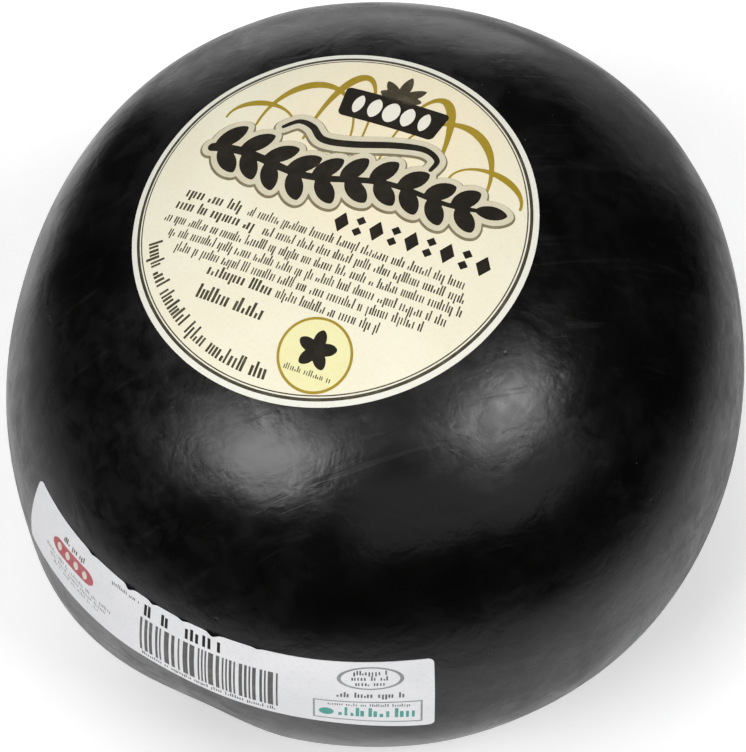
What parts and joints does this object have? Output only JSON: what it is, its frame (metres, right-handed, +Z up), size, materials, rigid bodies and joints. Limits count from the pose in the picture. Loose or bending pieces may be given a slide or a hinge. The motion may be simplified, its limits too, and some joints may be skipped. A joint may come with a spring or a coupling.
{
  "type": "waxed cheese ball",
  "caption": "Small flattened ball of cheese in a black wax coat, with a round paper label on its crown and a paper strip label on its side.",
  "frame": {"origin": "middle of the small flat foot that the ball rests on", "axes": "+Z up through the crown and the round label, -Y towards the front, where the strip label's right end is"},
  "size_m": [0.1204, 0.1208, 0.0961],
  "materials": {
    "black_wax": "satin black cheese wax with soft scuffs, small pits and a cloudy sheen",
    "cream_paper": "smooth coated label paper, cream with an off-white edge, printed in dark brown, black and gold",
    "white_paper": "plain white sticker paper, printed in grey, red and teal"
  },
  "bodies": {
    "root": {"waxed_cheese_ball": "black_wax", "round_label": "cream_paper", "strip_label": "white_paper"}
  },
  "joints": []
}
